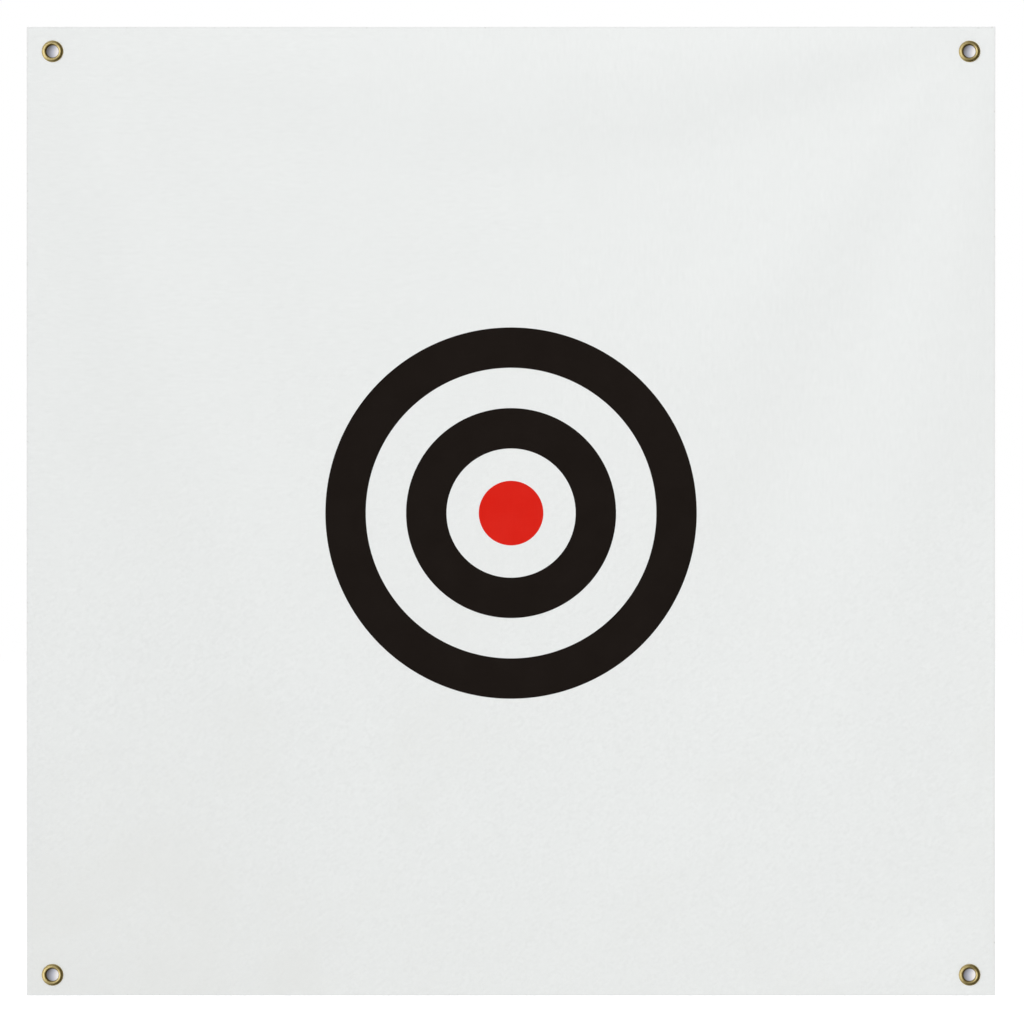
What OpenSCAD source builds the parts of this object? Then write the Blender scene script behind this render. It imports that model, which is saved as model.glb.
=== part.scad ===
// Hanging target cloth for golf practice: a square woven sheet with a printed bullseye
// and a clinched two-part brass eyelet in each corner.
//
// Millimetres. +Z is up, the printed front faces -Y, and the origin is the centre of the
// four eyelets and of the bullseye, on the cloth's rear face.

/* [Cloth] */
// Width of the cloth
cloth_w = 1500; // [900:10:2000]
// Height of the cloth
cloth_h = 1500; // [900:10:2000]
// Thickness of the woven cloth
cloth_t = 0.6; // [0.4:0.1:1.2]
// Width of the heat-sealed band along the cut edges
seal_w = 2.4; // [1:0.2:5]
// How far the sealed band is pressed below each face of the cloth
seal_press = 0.1; // [0.04:0.02:0.16]

/* [Target print] */
// Diameter of the red bullseye
bullseye_d = 100; // [40:5:160]
// Bare cloth between the bullseye and the inner ring
bullseye_gap = 50; // [20:2.5:80]
// Width of the inner black ring
inner_ring_w = 62.5; // [30:2.5:80]
// Bare cloth between the two black rings
ring_gap = 62.5; // [30:2.5:80]
// Width of the outer black ring
outer_ring_w = 62.5; // [30:2.5:80]
// Thickness of the ink film
ink_t = 0.1; // [0.05:0.05:0.2]

/* [Eyelet places] */
// From each side edge of the cloth to the eyelets' centres
side_margin = 40; // [30:1:80]
// From the top edge of the cloth to the upper eyelets' centres
top_margin = 38; // [30:1:80]
// From the bottom edge of the cloth to the lower eyelets' centres
bottom_margin = 32; // [30:1:80]

/* [Eyelets] */
// Clear bore through each eyelet
bore_d = 19; // [14:0.5:25]
// Width of the front flange, from the bore to its rim
flange_w = 7.25; // [6.5:0.25:9]
// Height of the flange's bead above the cloth
bead_h = 2.8; // [1.6:0.1:3.2]
// Thickness of the eyelet's brass sheet
eyelet_t = 0.6; // [0.4:0.05:0.8]
// Outside radius of the curl that the barrel's end is rolled into
curl_r = 1.5; // [1.2:0.1:2]

/* [Washers] */
// Width of the washer, from the eyelet's bore to the washer's rim
washer_w = 7; // [6.5:0.25:9]
// Height of the washer's dish behind the cloth
dish_h = 1.2; // [0.9:0.1:1.6]
// Thickness of the washer's brass sheet
washer_t = 0.6; // [0.4:0.05:0.8]
// Flat land that the washer keeps outside the curl
washer_land = 0.5; // [0.2:0.1:0.8]

/* [Fits] */
// Radial play of the eyelet's barrel in the cloth's punched hole
hole_play = 0.2; // [0.1:0.05:0.4]
// Radial play of the eyelet's barrel in the washer
washer_play = 0.15; // [0.05:0.05:0.4]

/* [Hidden] */
// Each corner's name, its side (-1 left, 1 right) and its level (-1 lower, 1 upper)
CORNERS = [
    ["top_left", -1, 1],
    ["top_right", 1, 1],
    ["bottom_left", -1, -1],
    ["bottom_right", 1, -1]
];

// Distances between the eyelets' centres
span_x = cloth_w - 2 * side_margin;
span_z = cloth_h - top_margin - bottom_margin;

// Diameters of the print, from the middle outwards
inner_ring_in_d = bullseye_d + 2 * bullseye_gap;
inner_ring_out_d = inner_ring_in_d + 2 * inner_ring_w;
outer_ring_in_d = inner_ring_out_d + 2 * ring_gap;
outer_ring_out_d = outer_ring_in_d + 2 * outer_ring_w;

// Radii of the eyelet and of what its barrel passes through
bore_r = bore_d / 2;
barrel_r = bore_r + eyelet_t;
crest_r = bore_r + bead_h;
flange_r = bore_r + flange_w;
hole_r = barrel_r + hole_play;
washer_hole_r = barrel_r + washer_play;
washer_flat_r = bore_r + 2 * curl_r + washer_land;
washer_r = bore_r + washer_w;

// How far a cut reaches past what it cuts
past = 1;
steps_print = 360;
steps_brass = 120;

// Radius of the arc that drops by `drop` over `run`, starting level
function shoulder_radius(run, drop) = (run * run + drop * drop) / (2 * drop);

// Turns the sheet's own frame, x right, y up and z out of the front face, to the part's
module facing_front() {
    rotate([90, 0, 0])
        children();
}

module at_corner(side, level) {
    translate([side * span_x / 2, level * span_z / 2, 0])
        children();
}

// Section of a curved sheet of thickness t whose outside follows a circle about `centre`.
// Its children are the area that the section is kept in.
module sheet_arc(centre, r, t) {
    intersection() {
        difference() {
            translate(centre)
                circle(r = r, $fn = steps_brass);
            translate(centre)
                circle(r = r - t, $fn = steps_brass);
        }
        children();
    }
}

// Outline of the sheet, grown inwards by `inset`, with its top and bottom margins
module sheet_outline(inset) {
    translate([inset - cloth_w / 2, inset - span_z / 2 - bottom_margin])
        square([cloth_w - 2 * inset, cloth_h - 2 * inset]);
}

module target_cloth() {
    color([0.91, 0.92, 0.92])
        facing_front()
            difference() {
                union() {
                    linear_extrude(height = cloth_t)
                        sheet_outline(seal_w);
                    translate([0, 0, seal_press])
                        linear_extrude(height = cloth_t - 2 * seal_press)
                            sheet_outline(0);
                }
                for (corner = CORNERS)
                    at_corner(corner[1], corner[2])
                        translate([0, 0, -past])
                            cylinder(r = hole_r, h = cloth_t + 2 * past, $fn = steps_brass);
            }
}

// Film of ink on the front of the cloth, with a bare middle where d_in is above 0
module ink_ring(d_out, d_in) {
    facing_front()
        translate([0, 0, cloth_t])
            linear_extrude(height = ink_t)
                difference() {
                    circle(d = d_out, $fn = steps_print);
                    if (d_in > 0)
                        circle(d = d_in, $fn = steps_print);
                }
}

module outer_ring_print() {
    color([0.12, 0.1, 0.09])
        ink_ring(outer_ring_out_d, outer_ring_in_d);
}

module inner_ring_print() {
    color([0.12, 0.1, 0.09])
        ink_ring(inner_ring_out_d, inner_ring_in_d);
}

module bullseye_print() {
    color([0.85, 0.15, 0.11])
        ink_ring(bullseye_d, 0);
}

// Half section of an eyelet: x is the radius, y is 0 at the cloth's rear face.
// The bead rises from the bore in a quarter circle and falls to the rim in a flatter arc,
// the barrel runs back through the cloth and the washer, and its end curls over the washer.
module eyelet_section() {
    fall_r = shoulder_radius(flange_r - crest_r, bead_h);
    crest_y = cloth_t + bead_h;
    sheet_arc([crest_r, cloth_t], bead_h, eyelet_t)
        translate([0, cloth_t])
            square([crest_r, bead_h + past]);
    sheet_arc([crest_r, crest_y - fall_r], fall_r, eyelet_t)
        translate([crest_r, cloth_t])
            square([flange_w, bead_h + past]);
    translate([bore_r, -dish_h])
        square([eyelet_t, cloth_t + dish_h]);
    sheet_arc([bore_r + curl_r, -dish_h], curl_r, eyelet_t)
        translate([0, -dish_h - curl_r - past])
            square([crest_r + flange_w, curl_r + past]);
}

// Half section of a washer: flat where the curl presses it, then dished down to the cloth
module washer_section() {
    fall_r = shoulder_radius(washer_r - washer_flat_r, dish_h);
    translate([washer_hole_r, -dish_h])
        square([washer_flat_r - washer_hole_r, washer_t]);
    sheet_arc([washer_flat_r, fall_r - dish_h], fall_r, washer_t)
        translate([washer_flat_r, -dish_h - past])
            square([washer_w, dish_h + past]);
}

module eyelet(side, level) {
    color([0.76, 0.65, 0.38])
        facing_front()
            at_corner(side, level)
                rotate_extrude($fn = steps_brass)
                    eyelet_section();
}

module washer(side, level) {
    color([0.7, 0.6, 0.36])
        facing_front()
            at_corner(side, level)
                rotate_extrude($fn = steps_brass)
                    washer_section();
}

target_cloth();
outer_ring_print();
inner_ring_print();
bullseye_print();
for (corner = CORNERS) {
    eyelet(corner[1], corner[2]);
    washer(corner[1], corner[2]);
}
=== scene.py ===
"""Hanging target cloth for golf practice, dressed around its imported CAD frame.

Metres, in the frame's axes: +Z is up, the printed front faces -Y, and the origin is the
centre of the four eyelets and of the bullseye, on the cloth's rear face.
"""

import logging
import math
from collections.abc import Callable, Iterable
from dataclasses import dataclass, field
from enum import Enum

import bmesh
import bpy
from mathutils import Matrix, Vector


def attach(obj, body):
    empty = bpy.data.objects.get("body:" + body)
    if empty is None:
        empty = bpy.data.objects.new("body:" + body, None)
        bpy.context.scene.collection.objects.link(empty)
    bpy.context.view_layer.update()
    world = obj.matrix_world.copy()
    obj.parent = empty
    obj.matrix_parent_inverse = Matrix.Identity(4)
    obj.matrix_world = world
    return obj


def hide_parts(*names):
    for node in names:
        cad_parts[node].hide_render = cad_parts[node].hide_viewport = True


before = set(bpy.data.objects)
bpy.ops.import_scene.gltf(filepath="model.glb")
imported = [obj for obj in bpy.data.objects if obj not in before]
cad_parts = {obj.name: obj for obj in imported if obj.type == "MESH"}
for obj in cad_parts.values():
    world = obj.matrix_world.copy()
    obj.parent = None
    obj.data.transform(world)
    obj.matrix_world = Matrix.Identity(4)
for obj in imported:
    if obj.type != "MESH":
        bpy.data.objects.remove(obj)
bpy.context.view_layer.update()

Colour = tuple[float, float, float]
Place = tuple[float, float, float]
Span = tuple[float, ...]
Section = list[tuple[float, float]]
Socket = bpy.types.NodeSocket
Piece = bpy.types.Object
Material = bpy.types.Material

LOG = logging.getLogger("target_cloth")
BODY = "root"
MM = 0.001
QUARTER = math.pi / 2
WHITE = (1.0, 1.0, 1.0, 1.0)
WELD = 0.001 * MM

CLOTH_T = 0.6 * MM
YARN_PITCH = 1.5 * MM
EYELET_X = 0.710
EYELET_Z = 0.715


class Slot(Enum):
    """Material slots of the record; the inks' materials are named after them."""

    CLOTH = "cloth"
    INK_BLACK = "ink_black"
    INK_RED = "ink_red"
    BRASS = "brass"


class Corner(Enum):
    """The four corners: name, side (-1 left, 1 right) and level (-1 lower, 1 upper)."""

    TOP_LEFT = ("top_left", -1, 1)
    TOP_RIGHT = ("top_right", 1, 1)
    BOTTOM_LEFT = ("bottom_left", -1, -1)
    BOTTOM_RIGHT = ("bottom_right", 1, -1)

    @property
    def label(self) -> str:
        """The corner's name as the frame's nodes end with it."""
        return self.value[0]

    @property
    def x(self) -> float:
        """X of the corner's eyelet."""
        return self.value[1] * EYELET_X

    @property
    def z(self) -> float:
        """Z of the corner's eyelet."""
        return self.value[2] * EYELET_Z

    @property
    def centre(self) -> Vector:
        """The eyelet's centre, on the cloth's rear face."""
        return Vector((self.x, 0.0, self.z))


class Face(Enum):
    """Material index of each kind of face on the cloth."""

    FRONT = 0
    REAR = 1
    CUT_EDGE = 2


# --------------------------------------------------------------------------- hand tools


class Bench:
    """The modelling bench: selection, edit mode and modifiers for one piece at a time."""

    @staticmethod
    def clear() -> None:
        """Deselects every object."""
        bpy.ops.object.select_all(action="DESELECT")

    @staticmethod
    def take(piece: Piece) -> None:
        """Selects one piece alone and makes it the active one.

        Args:
            piece: The piece.
        """
        Bench.clear()
        piece.select_set(True)
        bpy.context.view_layer.objects.active = piece

    @staticmethod
    def start(name: str) -> Piece:
        """Names the primitive that was just added, with its place put in its mesh.

        Args:
            name: The piece's name, which its mesh takes too.

        Returns:
            The new piece, at the origin and unturned.
        """
        piece = bpy.context.active_object
        piece.name = piece.data.name = name
        Bench.take(piece)
        bpy.ops.object.transform_apply(location=True, rotation=True, scale=True)
        return piece

    @staticmethod
    def circle(centre: Vector, radius: float, points: int, fill: str = "NOTHING") -> None:
        """Adds an upright circle, as a new piece or to the one in edit mode; "NGON" fills it."""
        bpy.ops.mesh.primitive_circle_add(
            vertices=points, radius=radius, fill_type=fill, location=centre, rotation=(QUARTER, 0, 0)
        )

    @staticmethod
    def edit(piece: Piece, mode: str = "VERT") -> None:
        """Opens a piece in edit mode with nothing selected.

        Args:
            piece: The piece.
            mode: What can be selected in it, "VERT", "EDGE" or "FACE".
        """
        Bench.take(piece)
        bpy.ops.object.mode_set(mode="EDIT")
        bpy.ops.mesh.select_mode(type=mode)
        bpy.ops.mesh.select_all(action="DESELECT")

    @staticmethod
    def close() -> None:
        """Leaves edit mode."""
        bpy.ops.object.mode_set(mode="OBJECT")

    @staticmethod
    def pick(piece: Piece, part: str, test: Callable) -> None:
        """Selects the parts of the mesh in edit mode that pass a test.

        Args:
            piece: The piece in edit mode.
            part: "verts", "edges" or "faces".
            test: Takes one such part and says whether it is wanted.
        """
        bpy.ops.mesh.select_all(action="DESELECT")
        mesh = bmesh.from_edit_mesh(piece.data)
        for item in getattr(mesh, part):
            if test(item):
                item.select_set(True)
        mesh.select_flush_mode()
        bmesh.update_edit_mesh(piece.data)

    @staticmethod
    def modify(piece: Piece, kind: str, **settings: object) -> None:
        """Adds one modifier, sets it and applies it.

        Args:
            piece: The piece that it works on.
            kind: The modifier's type.
            **settings: The modifier's own settings.
        """
        Bench.take(piece)
        modifier = piece.modifiers.new(kind.lower(), kind)
        for name, value in settings.items():
            setattr(modifier, name, value)
        bpy.ops.object.modifier_apply(modifier=modifier.name)

    @staticmethod
    def smooth(piece: Piece, below: float) -> None:
        """Shades a piece smoothly, but leaves edges sharper than an angle in degrees crisp."""
        Bench.take(piece)
        bpy.ops.object.shade_smooth_by_angle(angle=math.radians(below))

    @staticmethod
    def outward(piece: Piece) -> None:
        """Welds a piece's points and turns its faces outwards.

        Args:
            piece: A piece whose mesh is closed.
        """
        Bench.edit(piece)
        bpy.ops.mesh.select_all(action="SELECT")
        bpy.ops.mesh.remove_doubles(threshold=WELD)
        bpy.ops.mesh.normals_make_consistent(inside=False)
        Bench.close()

    @staticmethod
    def fit(piece: Piece, slot: Slot, *nodes: str) -> None:
        """Puts a finished piece in the place of its CAD nodes.

        Args:
            piece: The finished piece.
            slot: The record's material slot; not used.
            *nodes: The CAD nodes that it stands for.
        """
        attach(piece, BODY)
        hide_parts(*nodes)
        LOG.info("%s: %d faces", piece.name, len(piece.data.polygons))


class Wiring:
    """Adds and joins the nodes of one node tree."""

    def __init__(self, tree: bpy.types.NodeTree) -> None:
        """Takes the tree that the nodes go in."""
        self.tree = tree

    @classmethod
    def of(cls, owner: Material | bpy.types.World) -> "Wiring":
        """Gives a material or world an empty tree.

        Args:
            owner: The material or world.

        Returns:
            The wiring of its tree.
        """
        owner.use_nodes = True
        owner.node_tree.nodes.clear()
        return cls(owner.node_tree)

    def add(self, kind: str, inputs: dict | None = None, **settings: object) -> bpy.types.Node:
        """Adds one node.

        Args:
            kind: The node's type, without the leading "ShaderNode".
            inputs: Values or sockets for its inputs, by name or index.
            **settings: The node's own settings.

        Returns:
            The new node.
        """
        node = self.tree.nodes.new("ShaderNode" + kind)
        for name, value in settings.items():
            setattr(node, name, value)
        for key, value in (inputs or {}).items():
            self.feed(node.inputs[key], value)
        return node

    def feed(self, socket: Socket, value: object) -> None:
        """Links a socket to an input, or sets the input's own value."""
        if isinstance(value, bpy.types.NodeSocket):
            self.tree.links.new(value, socket)
        else:
            socket.default_value = value

    def math(self, operation: str, *values: object, clamp: bool = False) -> Socket:
        """Adds a Math node and returns its value."""
        inputs = dict(enumerate(values))
        return self.add("Math", inputs, operation=operation, use_clamp=clamp).outputs[0]

    def times(self, first: object, second: object) -> Socket:
        """Multiplies two values."""
        return self.math("MULTIPLY", first, second)

    def plus(self, first: object, second: object, clamp: bool = False) -> Socket:
        """Adds two values, held between 0 and 1 if clamp is set."""
        return self.math("ADD", first, second, clamp=clamp)

    def line(self, value: Socket, slope: object, base: object) -> Socket:
        """Multiplies a value by a slope and adds a base."""
        return self.math("MULTIPLY_ADD", value, slope, base)

    def span(
        self, value: Socket, low: float, high: float, to_low: float = 0.0, to_high: float = 1.0
    ) -> Socket:
        """Maps a value from one range to another, smoothly and held at the ends."""
        inputs = {"Value": value, 1: low, 2: high, 3: to_low, 4: to_high}
        return self.add("MapRange", inputs, interpolation_type="SMOOTHSTEP").outputs[0]

    def mix(self, share: object, first: Socket, second: Socket) -> Socket:
        """Mixes two values by a share of the second."""
        return self.add("Mix", {0: share, 2: first, 3: second}, data_type="FLOAT").outputs[0]

    def blend(self, share: object, first: object, second: object) -> Socket:
        """Mixes two colours, each a socket or three numbers, by a share of the second."""
        ends = [(*end, 1.0) if isinstance(end, tuple) else end for end in (first, second)]
        return self.add("Mix", {0: share, 6: ends[0], 7: ends[1]}, data_type="RGBA").outputs[2]

    def place(self) -> Socket:
        """The piece's own Object coordinates."""
        return self.add("TexCoord").outputs["Object"]

    def axes(self, place: Socket) -> tuple[Socket, Socket, Socket]:
        """Splits a place into its X, Y and Z."""
        return tuple(self.add("SeparateXYZ", {0: place}).outputs)

    def vector(self, operation: str, *values: object) -> Socket:
        """Adds a Vector Math node and returns its vector."""
        return self.add("VectorMath", dict(enumerate(values)), operation=operation).outputs["Vector"]

    def distance(self, place: Socket, point: Place = (0.0, 0.0, 0.0)) -> Socket:
        """Measures how far a place is from a point."""
        return self.add("VectorMath", {0: place, 1: point}, operation="DISTANCE").outputs["Value"]

    def noise(
        self, place: Socket, scale: float, detail: float = 2.0, stretch: Place = (1.0, 1.0, 1.0)
    ) -> Socket:
        """Adds a noise on a place that is first stretched.

        Args:
            place: The place.
            scale: The noise's scale.
            detail: Its detail.
            stretch: How much finer it gets along X, Y and Z.

        Returns:
            Its value.
        """
        stretched = self.vector("MULTIPLY", place, stretch)
        inputs = {"Vector": stretched, "Scale": scale, "Detail": detail}
        return self.add("TexNoise", inputs).outputs["Fac"]

    def patchy(self, place: Socket, noise: Span, share: Span) -> Socket:
        """Maps a noise, given by its scale and detail, from one range to another."""
        return self.span(self.noise(place, *noise), *share)

    def bump(self, height: Socket, distance: float, strength: float = 1.0) -> Socket:
        """Adds a Bump node and returns its normal."""
        inputs = {"Height": height, "Distance": distance, "Strength": strength}
        return self.add("Bump", inputs).outputs[0]

    def end_one_sided(self, shader: Socket, gone: Socket) -> None:
        """Ends a stage material, which leaves out a part of its surface.

        Args:
            shader: What the rest of the surface shows.
            gone: 1 where the surface is left out.
        """
        clear = self.add("BsdfTransparent").outputs[0]
        mixed = self.add("MixShader", {0: gone, 1: shader, 2: clear}).outputs[0]
        self.add("OutputMaterial", {"Surface": mixed})


class Effect:
    """A shader node group with named inputs and outputs, built once and shared."""

    def __init__(self, name: str, inputs: dict[str, str], outputs: dict[str, str]) -> None:
        """Makes the group's tree.

        Args:
            name: The group's name.
            inputs: Socket kind by name, "Vector", "Float" or "Color".
            outputs: The same for its outputs.
        """
        self.tree = bpy.data.node_groups.new(name, "ShaderNodeTree")
        for side, sockets in (("INPUT", inputs), ("OUTPUT", outputs)):
            for label, kind in sockets.items():
                self.tree.interface.new_socket(label, in_out=side, socket_type="NodeSocket" + kind)
        self.wiring = Wiring(self.tree)
        self.given = self.tree.nodes.new("NodeGroupInput").outputs
        self.result = self.tree.nodes.new("NodeGroupOutput").inputs

    def placed(self, wiring: Wiring, **values: object) -> bpy.types.bpy_prop_collection:
        """Places the group in a material.

        Args:
            wiring: The wiring of the material's tree.
            **values: Values or sockets for the inputs, with _ for a space in a name.

        Returns:
            The placed group's outputs.
        """
        node = wiring.tree.nodes.new("ShaderNodeGroup")
        node.node_tree = self.tree
        for name, value in values.items():
            wiring.feed(node.inputs[name.replace("_", " ")], value)
        return node.outputs


# ------------------------------------------------------------------------------ effects


class PlainWeave(Effect):
    """Yarns that pass over and under each other, with slubs, in the sheet's own X and Z."""

    wander_noise: Span = (45.0, 1.0)
    wander: float = 1.2 * MM
    slub_noise: Span = (1.0, 1.5)
    slubs: tuple[Place, Place] = ((620.0, 1.0, 26.0), (22.0, 1.0, 560.0))

    def __init__(self) -> None:
        """Builds the group."""
        super().__init__(
            "plain_weave",
            {"Place": "Vector", "Pitch": "Float"},
            {"Height": "Float", "Slubs": "Float"},
        )
        w, place = self.wiring, self.given["Place"]
        scale, detail = self.wander_noise
        wander = w.add("TexNoise", {"Vector": place, "Scale": scale, "Detail": detail}).outputs["Color"]
        centred = w.vector("SUBTRACT", wander, (0.5, 0.5, 0.5))
        shift = w.add("VectorMath", {0: centred, "Scale": self.wander}, operation="SCALE").outputs[0]
        x, _, z = w.axes(w.vector("ADD", place, shift))
        warp, weft = (
            w.math("SINE", w.times(w.math("DIVIDE", axis, self.given["Pitch"]), math.pi))
            for axis in (x, z)
        )
        over = w.line(w.times(warp, weft), 0.5, 0.5)
        under = w.math("SUBTRACT", 1.0, over)
        rise, fall = (
            w.times(w.math("ABSOLUTE", yarns), share) for yarns, share in ((warp, over), (weft, under))
        )
        w.feed(self.result["Height"], w.math("MAXIMUM", rise, fall))
        along, across = (w.noise(place, *self.slub_noise, stretch) for stretch in self.slubs)
        w.feed(self.result["Slubs"], w.times(w.plus(along, across), 0.5))


class CanvasGrain(Effect):
    """The canvas's pebbled grain: slanting low down, upright or level high up."""

    region_noise: Span = (3.2, 1.0)
    upper: Span = (0.1, 0.9)
    upper_stray: float = 0.8
    level: Span = (1.0, 0.5)
    level_stray: float = 1.6
    streak_noise: Span = (1.0, 1.0)
    ribs: Place = (200.0, 1.0, 60.0)
    wefts: Place = (60.0, 1.0, 200.0)
    slants: Place = (85.0, 1.0, 190.0)
    pebble_noise: Span = (185.0, 1.0)
    low_swing: float = 20.0
    high_swing: float = 6.5
    gap_noise: Span = (48.0, 2.0)
    gap_share: Span = (0.38, 0.6, 0.35, 1.0)

    def __init__(self) -> None:
        """Builds the group."""
        super().__init__(
            "canvas_grain",
            {"Place": "Vector", "Slant": "Float"},
            {"Grain": "Float"},
        )
        w, place = self.wiring, self.given["Place"]
        inputs = {"Vector": place, "Angle": self.given["Slant"]}
        turned = w.add("VectorRotate", inputs, rotation_type="Y_AXIS").outputs[0]
        regions = w.noise(place, *self.region_noise)
        x, _, z = w.axes(place)
        upper = w.span(w.line(regions, self.upper_stray, z), *self.upper)
        level = w.span(w.line(regions, self.level_stray, x), *self.level)
        ribs, wefts, slants = (
            w.noise(start, *self.streak_noise, stretch)
            for start, stretch in ((place, self.ribs), (place, self.wefts), (turned, self.slants))
        )
        low = w.mix(0.5, slants, w.noise(place, *self.pebble_noise))
        centred = w.math("SUBTRACT", w.mix(upper, low, w.mix(level, ribs, wefts)), 0.5)
        swing = w.line(upper, self.high_swing - self.low_swing, self.low_swing)
        sparse = w.patchy(place, self.gap_noise, self.gap_share)
        w.feed(self.result["Grain"], w.times(w.times(centred, swing), sparse))


class LatheWear(Effect):
    """Wear on a round brass piece about its own axis: crest, painted shade in the bore with grime stains,
    and burnish lines.
    """

    patch_noise: Span = (260.0, 3.0)
    patches: Span = (0.25, 0.7, 0.55, 1.0)
    bore_shade_depth: float = 1.2 * MM
    stain_noise: Span = (520.0, 4.0)
    stains: Span = (0.45, 0.75)
    stain_share: float = 0.6
    line_scale: float = 5200.0
    line_waver: Place = (60.0, 60.0, 60.0)

    def __init__(self) -> None:
        """Builds the group."""
        super().__init__(
            "lathe_wear",
            {"Place": "Vector", "Crest Radius": "Float", "Crest Width": "Float", "Bore Radius": "Float"},
            {"Crest": "Float", "Bore Shade And Grime": "Float", "Lines": "Float"},
        )
        w, given = self.wiring, self.given
        place = given["Place"]
        x, y, z = w.axes(place)
        radius = w.math("SQRT", w.plus(w.times(x, x), w.times(z, z)))
        off = w.math("DIVIDE", w.math("SUBTRACT", radius, given["Crest Radius"]), given["Crest Width"])
        ridge = w.math("EXPONENT", w.times(w.times(off, off), -1.0))
        w.feed(self.result["Crest"], w.times(ridge, w.patchy(place, self.patch_noise, self.patches)))
        # painted shade: the colour darkens into the bore, where shade falls; the stains below are real
        # grime
        inside = w.span(w.math("SUBTRACT", radius, given["Bore Radius"]), self.bore_shade_depth, 0.0)
        stains = w.times(w.patchy(place, self.stain_noise, self.stains), self.stain_share)
        w.feed(self.result["Bore Shade And Grime"], w.math("MAXIMUM", inside, stains))
        rings = {0: w.times(radius, self.line_scale), 1: w.times(y, self.line_scale)}
        straight = w.add("CombineXYZ", rings).outputs[0]
        wavering = w.vector("ADD", straight, w.vector("MULTIPLY", place, self.line_waver))
        w.feed(self.result["Lines"], w.noise(wavering, 1.0))


@dataclass
class Effects:
    """The shared effects, built once."""

    weave: PlainWeave = field(default_factory=PlainWeave)
    grain: CanvasGrain = field(default_factory=CanvasGrain)
    wear: LatheWear = field(default_factory=LatheWear)


# ----------------------------------------------------------------------------- finishes


class Finish:
    """What every finish shares: a material with one Principled shader and its output."""

    @staticmethod
    def blank(name: str, **constants: object) -> tuple[Material, Wiring, bpy.types.Node]:
        """Makes a material with a Principled shader.

        Args:
            name: The material's name.
            **constants: Values for the shader's inputs, with _ for a space in a name.

        Returns:
            The material, its wiring and the shader.
        """
        material = bpy.data.materials.new(name)
        w = Wiring.of(material)
        shader = w.add("BsdfPrincipled", {k.replace("_", " "): v for k, v in constants.items()})
        w.add("OutputMaterial", {"Surface": shader.outputs[0]})
        return material, w, shader

    @staticmethod
    def dress(
        w: Wiring, shader: bpy.types.Node, colour: Socket, roughness: Socket, normal: Socket
    ) -> None:
        """Feeds a Principled shader the three things that change over a surface."""
        for name, value in (("Base Color", colour), ("Roughness", roughness), ("Normal", normal)):
            w.feed(shader.inputs[name], value)


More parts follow.
